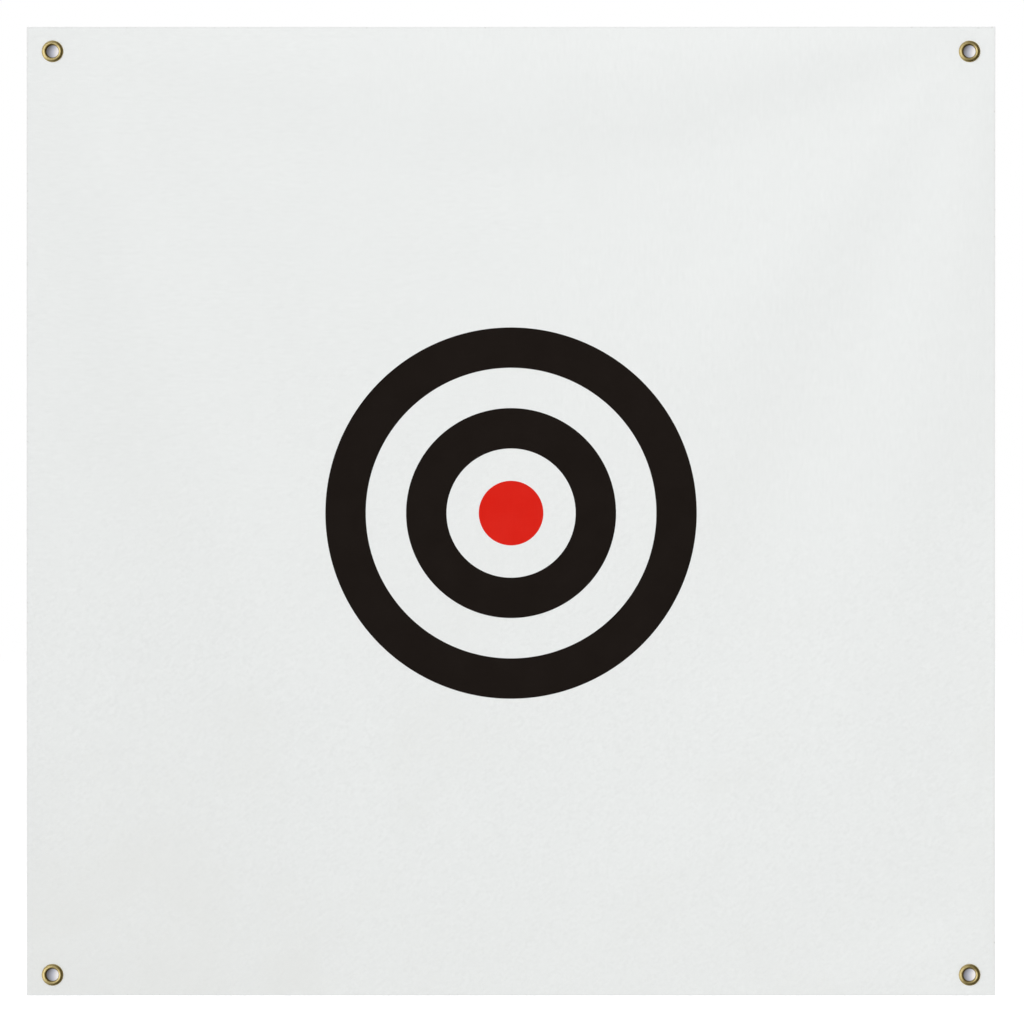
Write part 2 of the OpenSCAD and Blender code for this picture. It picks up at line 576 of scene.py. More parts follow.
@dataclass(frozen=True)
class WovenCloth(Finish):
    """Matt white canvas: yarns, slubs, a pebbled grain, painted shade between the yarns and painted shade
    towards the bottom and the lower left.
    """

    effects: Effects
    light: Colour = (0.870, 0.887, 0.879)
    shade: Colour = (0.832, 0.848, 0.840)
    slub_tone: Span = (0.9, -0.45)
    grain_tone: float = 0.25
    cloud_noise: Span = (7.0, 3.0)
    cloud_tone: Span = (0.5, -0.25)
    # painted shade of the weave: the yarns' crowns are lightened and the valleys between them darkened
    yarn_shade_tone: Span = (0.25, -0.1)
    mean_tone: float = 0.55
    valley: Colour = (0.640, 0.655, 0.648)
    valley_shade_share: Span = (0.02, 0.45, 0.7, 0.0)
    slant: float = math.radians(37)
    relief: float = 0.13 * MM
    grain_relief: float = 0.3
    roughness: Span = (0.0, 1.0, 1.0, 0.86)
    # painted shade: the cloth gets darker towards the bottom and in the lower-left corner, in soft
    # patches
    lower_shade: Colour = (0.800, 0.810, 0.792)
    patch_noise: Span = (4.5, 4.0)
    patches: Span = (0.5, 0.75)
    patch_share: Span = (0.3, -0.7, 0.05, 0.5)
    darker_corner: Place = (-0.62, 0.0, -0.64)
    darker_corner_reach: float = 0.38
    darker_corner_clouds: Span = (0.3, 0.7, 0.3, 1.0)
    darker_corner_share: float = 0.8
    darker_foot: Span = (-0.45, -0.74, 0.0, 0.15)
    fleck: Colour = (0.36, 0.35, 0.33)
    fleck_place: Place = (-0.407, 0.0, -0.552)
    fleck_share: Span = (1.4 * MM, 0.3 * MM, 0.0, 0.55)
    ghost_blur: float = 1.5 * MM

    def material(self, name: str, ghosts: Iterable["Disc"] = ()) -> Material:
        """Builds the cloth's material.

        Args:
            name: The material's name.
            ghosts: Printed bands that show faintly through this face.

        Returns:
            The material.
        """
        material, w, shader = self.blank(
            name, Specular_IOR_Level=0.15, Sheen_Weight=0.04, Sheen_Roughness=0.6
        )
        place = w.place()
        weave = self.effects.weave.placed(w, Place=place, Pitch=YARN_PITCH)
        grain = self.effects.grain.placed(w, Place=place, Slant=self.slant)["Grain"]
        yarns, clouds = weave["Height"], w.noise(place, *self.cloud_noise)
        tone = w.plus(w.line(weave["Slubs"], *self.slub_tone), w.times(grain, self.grain_tone))
        # the yarns' heights lighten their crowns: painted shade of the weave
        for value, share in ((clouds, self.cloud_tone), (yarns, self.yarn_shade_tone)):
            tone = w.plus(tone, w.line(value, *share))
        colour = w.blend(w.plus(tone, self.mean_tone, clamp=True), self.shade, self.light)
        # painted shade: the valleys between the yarns are darkened
        colour = w.blend(w.span(yarns, *self.valley_shade_share), colour, self.valley)
        # painted shade: darkens the cloth towards the bottom and the lower left
        colour = w.blend(self._dirt(w, place, clouds), colour, self.lower_shade)
        for disc in ghosts:
            colour = w.blend(disc.mask(w, place, self.ghost_blur), colour, disc.ghost)
        speck = w.span(w.distance(place, self.fleck_place), *self.fleck_share)
        colour = w.blend(speck, colour, self.fleck)
        height = w.line(grain, self.grain_relief, yarns)
        self.dress(w, shader, colour, w.span(yarns, *self.roughness), w.bump(height, self.relief))
        return material

    def _dirt(self, w: Wiring, place: Socket, clouds: Socket) -> Socket:
        """Works out the painted shade that darkens each point towards the bottom and the lower left.

        Args:
            w: The material's wiring.
            place: Object coordinates.
            clouds: The broad, soft noise that the darker corner follows.

        Returns:
            The painted shade, from 0 to 1: patches low down, the lower-left corner and the foot.
        """
        low = w.axes(place)[2]
        patches = w.patchy(place, self.patch_noise, self.patches)
        near = w.span(w.distance(place, self.darker_corner), self.darker_corner_reach, 0.0)
        corner_darkening = w.times(near, w.span(clouds, *self.darker_corner_clouds))
        lower_shade_share = w.times(patches, w.span(low, *self.patch_share))
        lower_shade_share = w.plus(lower_shade_share, w.times(corner_darkening, self.darker_corner_share))
        return w.plus(lower_shade_share, w.span(low, *self.darker_foot), clamp=True)


@dataclass(frozen=True)
class CutEdge(Finish):
    """The heat-sealed band: yarns fused flat, a little darker, with burnt dots."""

    fused: Colour = (0.800, 0.812, 0.806)
    burnt: Colour = (0.62, 0.62, 0.60)
    dot_noise: Span = (330.0, 2.0)
    dots: Span = (0.60, 0.72, 0.0, 0.8)
    run_noise: Span = (28.0, 2.0)
    runs: Span = (0.35, 0.65, 0.25, 1.0)
    melt_noise: Span = (700.0, 3.0)
    roughness: Span = (0.3, 0.7, 0.5, 0.85)
    relief: float = 0.08 * MM

    def material(self, name: str) -> Material:
        """Builds the band's material.

        Args:
            name: The material's name.

        Returns:
            The material.
        """
        material, w, shader = self.blank(name, Specular_IOR_Level=0.2)
        place = w.place()
        dots = w.patchy(place, self.dot_noise, self.dots)
        runs = w.patchy(place, self.run_noise, self.runs)
        colour = w.blend(w.times(dots, runs), self.fused, self.burnt)
        melt = w.noise(place, *self.melt_noise)
        self.dress(w, shader, colour, w.span(melt, *self.roughness), w.bump(melt, self.relief))
        return material


@dataclass(frozen=True)
class TextileInk(Finish):
    """Matt ink over the weave: full in the valleys, thinner on the yarns' crowns."""

    effects: Effects
    full: Colour
    thin: Colour
    crowns: Span = (0.55, 1.0)
    crown_slubs: Span = (0.4, 0.65)
    crown_share: float = 0.6
    cloud_noise: Span = (18.0, 4.0)
    clouds: Span = (0.3, 0.7, 0.0, 0.35)
    roughness: Span = (0.0, 1.0, 0.92, 0.78)
    relief: float = 0.06 * MM

    def material(self, name: str) -> Material:
        """Builds the ink's material.

        Args:
            name: The material's name.

        Returns:
            The material.
        """
        material, w, shader = self.blank(name, Specular_IOR_Level=0.12)
        place = w.place()
        weave = self.effects.weave.placed(w, Place=place, Pitch=YARN_PITCH)
        yarns = weave["Height"]
        crowns = w.times(w.span(yarns, *self.crowns), w.span(weave["Slubs"], *self.crown_slubs))
        clouds = w.patchy(place, self.cloud_noise, self.clouds)
        thinned = w.plus(w.times(crowns, self.crown_share), clouds, clamp=True)
        colour = w.blend(thinned, self.full, self.thin)
        self.dress(w, shader, colour, w.span(yarns, *self.roughness), w.bump(yarns, self.relief))
        return material


@dataclass(frozen=True)
class AgedBrass(Finish):
    """Pressed brass: bright on the crest, tarnished at the rim, with painted shade in the bore and grime
    stains.
    """

    effects: Effects
    bright: Colour = (0.780, 0.640, 0.310)
    aged: Colour = (0.560, 0.440, 0.190)
    # one colour for the painted shade in the bore and for the grime stains
    bore_shade_and_grime: Colour = (0.190, 0.140, 0.060)
    bore_shade_and_grime_share: float = 0.75
    crest_width: float = 2.2 * MM
    roughness: float = 0.34
    crest_gloss: float = -0.10
    bore_and_grime_dullness: float = 0.22
    line_dullness: float = 0.12
    relief: float = 0.02 * MM
    relief_share: float = 0.5

    def material(self, name: str, centre: Vector, crest_r: float, bore_r: float) -> Material:
        """Builds the brass of one corner.

        Args:
            name: The material's name.
            centre: The eyelet's centre.
            crest_r: Radius of the worn crest.
            bore_r: Radius of the bore.

        Returns:
            The material.
        """
        material, w, shader = self.blank(name, Metallic=1.0)
        own = w.add("Mapping", {"Vector": w.place(), "Location": -centre}).outputs[0]
        wear = self.effects.wear.placed(
            w, Place=own, Crest_Radius=crest_r, Crest_Width=self.crest_width, Bore_Radius=bore_r
        )
        crest, bore_shade_and_grime, lines = wear["Crest"], wear["Bore Shade And Grime"], wear["Lines"]
        colour = w.blend(crest, self.aged, self.bright)
        # painted shade in the bore, together with grime stains
        colour = w.blend(w.times(bore_shade_and_grime, self.bore_shade_and_grime_share), colour, self.bore_shade_and_grime)
        rough = w.line(crest, self.crest_gloss, self.roughness)
        rough = w.plus(rough, w.times(bore_shade_and_grime, self.bore_and_grime_dullness))
        rough = w.line(lines, self.line_dullness, rough)
        self.dress(w, shader, colour, rough, w.bump(lines, self.relief, self.relief_share))
        return material


# ------------------------------------------------------------------------- target cloth


@dataclass(frozen=True)
class Disc:
    """One printed band about the origin; a full disc where the inner diameter is 0."""

    node: str
    slot: Slot
    outer_d: float
    inner_d: float
    ghost: Colour
    row_w: float = 10 * MM

    @property
    def name(self) -> str:
        """The name of the band's piece."""
        return "printed_" + self.node.removesuffix("_print")

    @property
    def rows(self) -> int:
        """How many rows of faces the band is divided in, each about as wide as row_w."""
        return max(2, round((self.outer_d - self.inner_d) / 2 / self.row_w))

    def mask(self, w: Wiring, place: Socket, blur: float) -> Socket:
        """A mask of this band on a face of the cloth.

        Args:
            w: The wiring of the material.
            place: Object coordinates.
            blur: Half the width of the band's faded edge.

        Returns:
            The mask, from 0 to 1.
        """
        radius = w.distance(w.vector("MULTIPLY", place, (1.0, 0.0, 1.0)))
        mask = w.span(radius, self.outer_d / 2 + blur, self.outer_d / 2 - blur)
        if self.inner_d:
            bare = w.span(radius, self.inner_d / 2 - blur, self.inner_d / 2 + blur)
            mask = w.times(mask, bare)
        return mask


@dataclass
class TargetCloth:
    """The woven sheet: cut square, sealed at its edges, punched and hung at its eyelets."""

    effects: Effects
    prints: tuple[Disc, ...]
    width: float = 1.5
    height: float = 1.5
    centre_z: float = 3.0 * MM
    middle_y: float = -CLOTH_T / 2
    cells: int = 150
    seal_w: float = 2.4 * MM
    seal_share: float = 0.667
    seal_spare: float = 0.05 * MM
    hole_r: float = 10.3 * MM
    hole_rings: tuple[float, ...] = (13.2 * MM, 16.2 * MM)
    hole_points: int = 32
    hole_block: float = 21 * MM
    hole_lean: float = 2 * MM
    hole_spare: float = 1 * MM
    fray: float = 0.22 * MM
    fray_spare: float = 0.01 * MM
    fray_cuts: int = 3
    fray_seed: int = 11
    slack_cells: int = 77
    slack_allowance: float = 0.02
    slack: float = 0.006
    held_r: float = 0.03
    wave_h: float = 2 * MM
    # Where the sheet starts: each wave's share, its waves in a metre across and up, its phase.
    waves: tuple[tuple[float, float, float, float], ...] = (
        (1.0, 0.55, 0.35, 0.4),
        (0.7, -0.8, 0.9, 2.0),
        (0.4, 1.6, 0.3, 1.0),
        (0.35, 0.4, -1.7, 4.0),
    )
    frames: int = 60
    relief_kept: float = 0.18
    relief_most: float = 6.0 * MM
    flat_around: float = 22.0 * MM
    eased_over: float = 70.0 * MM
    crisp_above: float = 50
    piece: Piece = field(init=False)

    @staticmethod
    def to_eyelet(x: float, z: float) -> float:
        """Distance from a point of the sheet to the nearest eyelet's centre."""
        return min(math.hypot(x - corner.x, z - corner.z) for corner in Corner)

    def _grid(self, name: str, cells: int, size: float) -> Piece:
        """Adds a flat square grid, upright in the middle of the cloth's thickness.

        Args:
            name: The new piece's name.
            cells: Its cells along each side.
            size: Its width and height.

        Returns:
            The grid.
        """
        Bench.clear()
        bpy.ops.mesh.primitive_grid_add(
            x_subdivisions=cells, y_subdivisions=cells, size=size,
            location=(0, self.middle_y, self.centre_z), rotation=(QUARTER, 0, 0),
        )
        return Bench.start(name)

    def hang(self) -> Piece:
        """Hangs a slack sheet from its eyelets and keeps a small share of its relief.

        Returns:
            The relief as an open surface a little wider than the cloth.
        """
        relief = self._grid("slack_sheet", self.slack_cells, self.width + 2 * self.slack_allowance)
        flat = [vertex.co.copy() for vertex in relief.data.vertices]
        self._settle(relief, flat)
        for vertex, start in zip(relief.data.vertices, flat, strict=True):
            drop = (vertex.co.y - self.middle_y) * self.relief_kept
            drop = self.relief_most * math.tanh(drop / self.relief_most)
            free = (self.to_eyelet(start.x, start.z) - self.flat_around) / self.eased_over
            free = min(max(free, 0.0), 1.0)
            vertex.co = (start.x, self.middle_y + drop * free * free * (3 - 2 * free), start.z)
        Bench.modify(relief, "SMOOTH", factor=0.5, iterations=6, use_x=False, use_z=False)
        Bench.modify(relief, "SUBSURF", levels=1, render_levels=1, boundary_smooth="PRESERVE_CORNERS")
        return relief

    def _settle(self, relief: Piece, flat: list[Vector]) -> None:
        """Runs the cloth simulation on the slack sheet, held where it meets the eyelets.

        Args:
            relief: The slack sheet.
            flat: Where its points start.
        """
        held = relief.vertex_groups.new(name="eyelets")
        for vertex, p in zip(relief.data.vertices, flat, strict=True):
            if self.to_eyelet(p.x, p.z) < self.held_r:
                held.add([vertex.index], 1.0, "REPLACE")
            else:
                vertex.co.y += self.wave_h * sum(
                    share * math.sin(2 * math.pi * (p.x * across + p.z * up) + phase)
                    for share, across, up, phase in self.waves
                )
        hang = relief.modifiers.new("hang", "CLOTH")
        cloth = hang.settings
        cloth.quality = 6
        cloth.tension_stiffness = cloth.compression_stiffness = 30
        cloth.shear_stiffness = 12
        cloth.bending_stiffness = 2.0
        cloth.tension_damping = cloth.compression_damping = cloth.shear_damping = 10
        cloth.bending_damping = 2
        cloth.air_damping = 4
        cloth.vertex_group_mass = held.name
        cloth.shrink_min = cloth.shrink_max = -self.slack
        hang.collision_settings.use_collision = False
        hang.collision_settings.use_self_collision = False
        hang.point_cache.frame_end = self.frames
        for number in range(1, self.frames + 1):
            bpy.context.scene.frame_set(number)
        Bench.take(relief)
        bpy.ops.object.modifier_apply(modifier=hang.name)
        bpy.context.scene.frame_set(1)

    def cut(self) -> None:
        """Cuts the flat sheet: a grid with its sealed band and its four punched holes."""
        self.piece = self._grid("target_cloth_sheet", self.cells, self.width)
        Bench.edit(self.piece, "FACE")
        bpy.ops.mesh.select_all(action="SELECT")
        bpy.ops.mesh.inset(thickness=self.seal_w, use_boundary=True)
        for corner in Corner:
            self._punch(corner.x, corner.z)
        self._fray()
        bpy.ops.mesh.select_all(action="SELECT")
        bpy.ops.mesh.normals_make_consistent(inside=False)
        Bench.close()
        if self.piece.data.polygons[0].normal.y > 0:
            self.piece.data.flip_normals()

    def _punch(self, x: float, z: float) -> None:
        """Opens one hole: a block of cells goes, and rings about the hole fill its place.

        Args:
            x: The hole's centre across.
            z: The hole's centre up.
        """
        centre = Vector((x, self.middle_y, z))
        lean = math.copysign(self.hole_lean, -z)

        def in_block(face: bmesh.types.BMFace) -> bool:
            """Whether a cell makes room for the hole's rings."""
            cell = face.calc_center_median()
            return max(abs(cell.x - x), abs(cell.z - z - lean)) < self.hole_block

        def bare(edge: bmesh.types.BMEdge) -> bool:
            """Tests for the gap between the sheet and the outer ring.

            Args:
                edge: An edge of the sheet.

            Returns:
                Whether it bounds the gap.
            """
            reach, rim = self.hole_block + self.hole_lean, self.hole_r + self.hole_spare
            near = all(max(abs(v.co.x - x), abs(v.co.z - z)) < reach for v in edge.verts)
            at_hole = all(math.hypot(v.co.x - x, v.co.z - z) < rim for v in edge.verts)
            return near and not at_hole and len(edge.link_faces) < 2

        Bench.pick(self.piece, "faces", in_block)
        bpy.ops.mesh.delete(type="FACE")
        bpy.ops.mesh.select_mode(type="EDGE")
        Bench.circle(centre, self.hole_r, self.hole_points)
        radius = self.hole_r
        for wider in self.hole_rings:
            share = wider / radius
            bpy.ops.mesh.extrude_edges_move()
            bpy.ops.transform.resize(value=(share, 1, share), center_override=centre)
            radius = wider
        Bench.pick(self.piece, "edges", bare)
        bpy.ops.mesh.fill(use_beauty=True)
        bpy.ops.mesh.select_mode(type="FACE")

    def _fray(self) -> None:
        """Divides the cut edges finely and roughens them by a few tenths of a millimetre."""

        def at_cut(vertex: bmesh.types.BMVert) -> bool:
            """Whether a point lies on the sheet's outer edge."""
            return self._in_band(vertex.co, self.seal_w - self.fray_spare)

        bpy.ops.mesh.select_mode(type="EDGE")
        Bench.pick(self.piece, "edges", lambda e: e.is_boundary and all(map(at_cut, e.verts)))
        bpy.ops.mesh.subdivide(number_cuts=self.fray_cuts, ngon=True, quadcorner="INNERVERT")
        bpy.ops.mesh.select_mode(type="VERT")
        Bench.pick(self.piece, "verts", at_cut)
        bpy.ops.transform.vertex_random(offset=self.fray, seed=self.fray_seed)

    def _in_band(self, place: Vector, spare: float = 0.0) -> bool:
        """Whether a place lies in the sealed band, and past its inner edge by more than spare."""
        return (
            abs(place.x) > self.width / 2 - self.seal_w + spare
            or abs(place.z - self.centre_z) > self.height / 2 - self.seal_w + spare
        )

    def drape(self, relief: Piece) -> None:
        """Lays the cut sheet on the relief, thickens it and finishes its edge.

        Args:
            relief: The hung surface, which is removed afterwards.
        """
        Bench.modify(
            self.piece, "SHRINKWRAP", target=relief, wrap_method="PROJECT",
            use_project_y=True, use_negative_direction=True, use_positive_direction=True,
        )
        bpy.data.objects.remove(relief)
        full = self.piece.vertex_groups.new(name="body")
        for vertex in self.piece.data.vertices:
            sealed = self._in_band(vertex.co, self.seal_spare)
            full.add([vertex.index], 0.0 if sealed else 1.0, "REPLACE")
        Bench.modify(
            self.piece, "SOLIDIFY", thickness=CLOTH_T, offset=0.0, vertex_group=full.name,
            thickness_vertex_group=self.seal_share, use_even_offset=False, use_rim=True,
            material_offset=Face.REAR.value, material_offset_rim=Face.CUT_EDGE.value,
        )
        Bench.edit(self.piece, "FACE")
        Bench.pick(self.piece, "faces", lambda f: self._in_band(f.calc_center_median()))
        self.piece.active_material_index = Face.CUT_EDGE.value
        bpy.ops.object.material_slot_assign()
        Bench.close()
        Bench.smooth(self.piece, self.crisp_above)

    def build(self) -> Piece:
        """Makes the whole sheet and puts it in the frame.

        Returns:
            The finished sheet.
        """
        relief = self.hang()
        self.cut()
        cloth = WovenCloth(self.effects)
        for material in (
            cloth.material("cloth_front"),
            cloth.material("cloth_rear", self.prints),
            CutEdge().material("cloth_cut_edge"),
        ):
            self.piece.data.materials.append(material)
        self.drape(relief)
        Bench.fit(self.piece, Slot.CLOTH, "target_cloth")
        return self.piece


@dataclass
class PrintedBullseye:
    """The printed bands, each a film of ink that follows the cloth."""

    effects: Effects
    prints: tuple[Disc, ...]
    film: float = 0.1 * MM
    lift: float = 0.12 * MM
    clear_of_cloth: float = 50 * MM
    points: int = 240
    crisp_above: float = 60
    black: tuple[Colour, Colour] = ((0.0100, 0.0066, 0.0050), (0.0138, 0.0098, 0.0078))
    red: tuple[Colour, Colour] = ((0.690, 0.0125, 0.0055), (0.735, 0.0245, 0.0150))

    def _film(self, disc: Disc, cloth: Piece) -> Piece:
        """Models one band: rows of faces, laid on the cloth and given a thickness.

        Args:
            disc: The band's sizes.
            cloth: The finished sheet.

        Returns:
            The band's piece.
        """
        Bench.clear()
        Bench.circle(Vector((0, -self.clear_of_cloth, 0)), disc.outer_d / 2, self.points, "NGON")
        piece = Bench.start(disc.name)
        row_w = (disc.outer_d - disc.inner_d) / 2 / disc.rows
        Bench.edit(piece, "FACE")
        bpy.ops.mesh.select_all(action="SELECT")
        for row in range(disc.rows):
            if disc.inner_d == 0 and row == disc.rows - 1:
                bpy.ops.mesh.poke()
            else:
                bpy.ops.mesh.inset(thickness=row_w, use_even_offset=True)
        if disc.inner_d:
            bpy.ops.mesh.delete(type="FACE")
        Bench.close()
        Bench.modify(
            piece, "SHRINKWRAP", target=cloth, wrap_method="PROJECT",
            use_project_y=True, use_positive_direction=True, offset=self.lift,
        )
        Bench.modify(piece, "SOLIDIFY", thickness=self.film, offset=-1.0, use_even_offset=False)
        Bench.outward(piece)
        Bench.smooth(piece, self.crisp_above)
        return piece

    def build(self, cloth: Piece) -> None:
        """Prints every band on the cloth.

        Args:
            cloth: The finished sheet.
        """
        inks = {
            slot: TextileInk(self.effects, *colours).material(slot.value)
            for slot, colours in ((Slot.INK_BLACK, self.black), (Slot.INK_RED, self.red))
        }
        for disc in self.prints:
            piece = self._film(disc, cloth)
            piece.data.materials.append(inks[disc.slot])
            Bench.fit(piece, disc.slot, disc.node)


# ------------------------------------------------------------------------------ eyelets


def arc(centre: tuple[float, float], radius: float, start: float, end: float, steps: int) -> Section:
    """Points along an arc of a half section, its first point left out.

    Args:
        centre: Radius from the axis and height above the rear face, of the arc's centre.
        radius: The arc's own radius.
        start: Where it starts, in degrees from straight outwards, anticlockwise.
        end: Where it ends.
        steps: Into how many pieces it is divided.

    Returns:
        The points, each a radius from the axis and a height.
    """
    turns = [math.radians(start + (end - start) * i / steps) for i in range(1, steps + 1)]
    return [(centre[0] + radius * math.cos(t), centre[1] + radius * math.sin(t)) for t in turns]


def bow(run: float, rise: float) -> tuple[float, float]:
    """The arc that is level at one end and has gone a run across and a rise up at the other.

    Args:
        run: How far it goes across.
        rise: How far it goes up.

    Returns:
        Its radius, and the angle that it turns through, in degrees.
    """
    radius = (run * run + rise**2) / (2 * rise)
    return radius, math.degrees(math.asin(run / radius))


@dataclass
class ClinchedEyelets:
    """An eyelet and its washer at each corner, the barrel's end rolled over the washer."""

    effects: Effects
    bore_r: float = 9.5 * MM
    flange_w: float = 7.25 * MM
    bead_h: float = 2.8 * MM
    sheet_t: float = 0.6 * MM
    curl_r: float = 1.5 * MM
    dish_h: float = 1.2 * MM
    washer_hole_r: float = 10.25 * MM
    washer_flat_r: float = 13.0 * MM
    washer_r: float = 16.5 * MM
    points: int = 96
    bead_steps: int = 9
    curl_steps: int = 12
    dish_steps: int = 6
    rim_w: float = 0.72 * MM
    crisp_above: float = 40

    @property
    def crest_r(self) -> float:
        """Radius of the bead's crest."""
        return self.bore_r + self.bead_h

    def eyelet_section(self) -> Section:
        """Draws the eyelet's outer face, from the flange's rim over the bead down to the curl.

        Returns:
            Its points, each a radius and a height out of the front.
        """
        rim_r = self.bore_r + self.flange_w
        fall_r, lean = bow(rim_r - self.crest_r, self.bead_h)
        return [
            (rim_r, CLOTH_T),
            *arc((self.crest_r, CLOTH_T + self.bead_h - fall_r), fall_r, 90 - lean, 90, self.bead_steps),
            *arc((self.crest_r, CLOTH_T), self.bead_h, 90, 180, self.bead_steps),
            (self.bore_r, -self.dish_h / 2),
            (self.bore_r, -self.dish_h),
            *arc((self.bore_r + self.curl_r, -self.dish_h), self.curl_r, 180, 360, self.curl_steps),
        ]

    def washer_section(self) -> Section:
        """Draws the washer's rear face, from its rim down the dish to its hole.

        Returns:
            Its points, each a radius and a height out of the front.
        """
        fall_r, lean = bow(self.washer_r - self.washer_flat_r, self.dish_h)
        return [
            (self.washer_r, 0.0),
            *arc((self.washer_flat_r, fall_r - self.dish_h), fall_r, lean - 90, -90, self.dish_steps),
            (self.washer_hole_r, -self.dish_h),
        ]

    def turn(self, name: str, section: Section, seat: float) -> Piece:
        """Turns a section about the first corner's axis and gives the sheet its thickness.

        Args:
            name: The piece's name.
            section: The outer face's points, each a radius and a height out of the front.
            seat: Height of the cloth's face that the rim sits on.

        Returns:
            The turned piece, closed.
        """
        centre = Corner.TOP_LEFT.centre
        radius, height = section[0]
        Bench.clear()
        Bench.circle(centre - Vector((0, height, 0)), radius, self.points)
        piece = Bench.start(name)
        Bench.edit(piece, "EDGE")
        bpy.ops.mesh.select_all(action="SELECT")
        for next_r, next_h in section[1:]:
            bpy.ops.mesh.extrude_edges_move(TRANSFORM_OT_translate={"value": (0, height - next_h, 0)})
            share = next_r / radius
            bpy.ops.transform.resize(value=(share, 1, share), center_override=centre)
            radius, height = next_r, next_h
        bpy.ops.mesh.select_all(action="SELECT")
        bpy.ops.mesh.normals_make_consistent(inside=False)
        Bench.close()
        Bench.modify(
            piece, "SOLIDIFY", thickness=self.sheet_t, offset=self._behind(piece, centre),
            use_even_offset=True,
        )
        self._seat(piece, centre, section[0][0] - self.rim_w, seat)
        Bench.outward(piece)
        Bench.smooth(piece, self.crisp_above)
        return piece

    @staticmethod
    def _behind(piece: Piece, centre: Vector) -> float:
        """Finds the offset that puts the thickness behind a turned outer face.

        Args:
            piece: The turned open surface, whose first face looks away from its axis.
            centre: The axis that it was turned about.

        Returns:
            -1 if the faces point outwards, or 1.
        """
        face = piece.data.polygons[0]
        away = face.center - centre
        away.y = 0.0
        return -1.0 if face.normal.dot(away) > 0 else 1.0

    @staticmethod
    def _seat(piece: Piece, centre: Vector, beyond: float, seat: float) -> None:
        """Flattens what the thickness put through the cloth's face at the rim.

        Args:
            piece: The thickened piece.
            centre: Its axis.
            beyond: Radius past which a point belongs to the rim.
            seat: Height of the cloth's face that the rim sits on.
        """

        def sunk(vertex: bmesh.types.BMVert) -> bool:
            """Tests for rim points that have gone past the face that the rim sits on.

            Args:
                vertex: A point of the piece.

            Returns:
                Whether it has.
            """
            x, y, z = vertex.co
            through = -y < seat if seat > 0 else -y > seat
            return through and math.hypot(x - centre.x, z - centre.z) > beyond

        Bench.edit(piece)
        Bench.pick(piece, "verts", sunk)
        bpy.ops.transform.resize(value=(1, 0, 1), center_override=(centre.x, -seat, centre.z))
        Bench.close()

    def build(self) -> None:
        """Models one eyelet and one washer, copies them to the corners and dresses them."""
        patterns = {
            "eyelet": self.turn("eyelet", self.eyelet_section(), CLOTH_T),
            "washer": self.turn("washer", self.washer_section(), 0.0),
        }
        brass = AgedBrass(self.effects)
        for corner in Corner:
            material = brass.material(
                f"brass_{corner.label}", corner.centre, self.crest_r, self.bore_r
            )
            for kind, pattern in patterns.items():
                Bench.take(pattern)
                bpy.ops.object.duplicate(linked=False)
                bpy.ops.transform.translate(value=corner.centre - Corner.TOP_LEFT.centre)
                piece = Bench.start(f"brass_{kind}_{corner.label}")
                piece.data.materials.append(material)
                Bench.fit(piece, Slot.BRASS, f"{kind}_{corner.label}")
        for pattern in patterns.values():
            bpy.data.objects.remove(pattern)


# -------------------------------------------------------------------------------- stage


